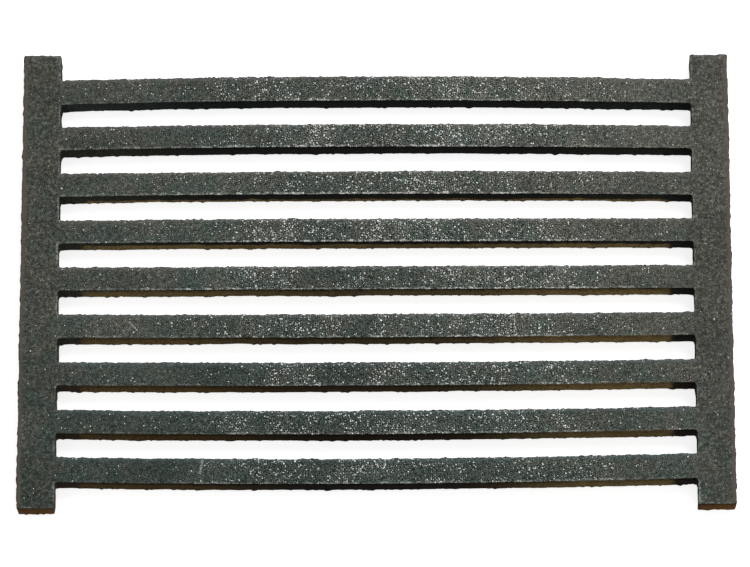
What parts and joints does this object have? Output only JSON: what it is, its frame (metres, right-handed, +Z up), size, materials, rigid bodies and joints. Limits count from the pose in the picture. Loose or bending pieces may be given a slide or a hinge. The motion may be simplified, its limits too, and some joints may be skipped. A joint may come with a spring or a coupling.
{
  "type": "cast iron grate",
  "caption": "Flat cast iron fire grate: long parallel bars joined by a wider bar at each end, carries burning fuel and lets ash fall and air rise through its gaps.",
  "frame": {"origin": "middle of the underside, on the surface that the grate lies on", "axes": "+X along the bars, +Y across them, +Z up out of the face that carries the fuel"},
  "size_m": [0.3, 0.2, 0.01],
  "materials": {
    "cast_iron": "as cast, sand textured, dark grey with light specks and brown film on the sides"
  },
  "bodies": {
    "root": {"grate": "cast_iron"}
  },
  "joints": []
}
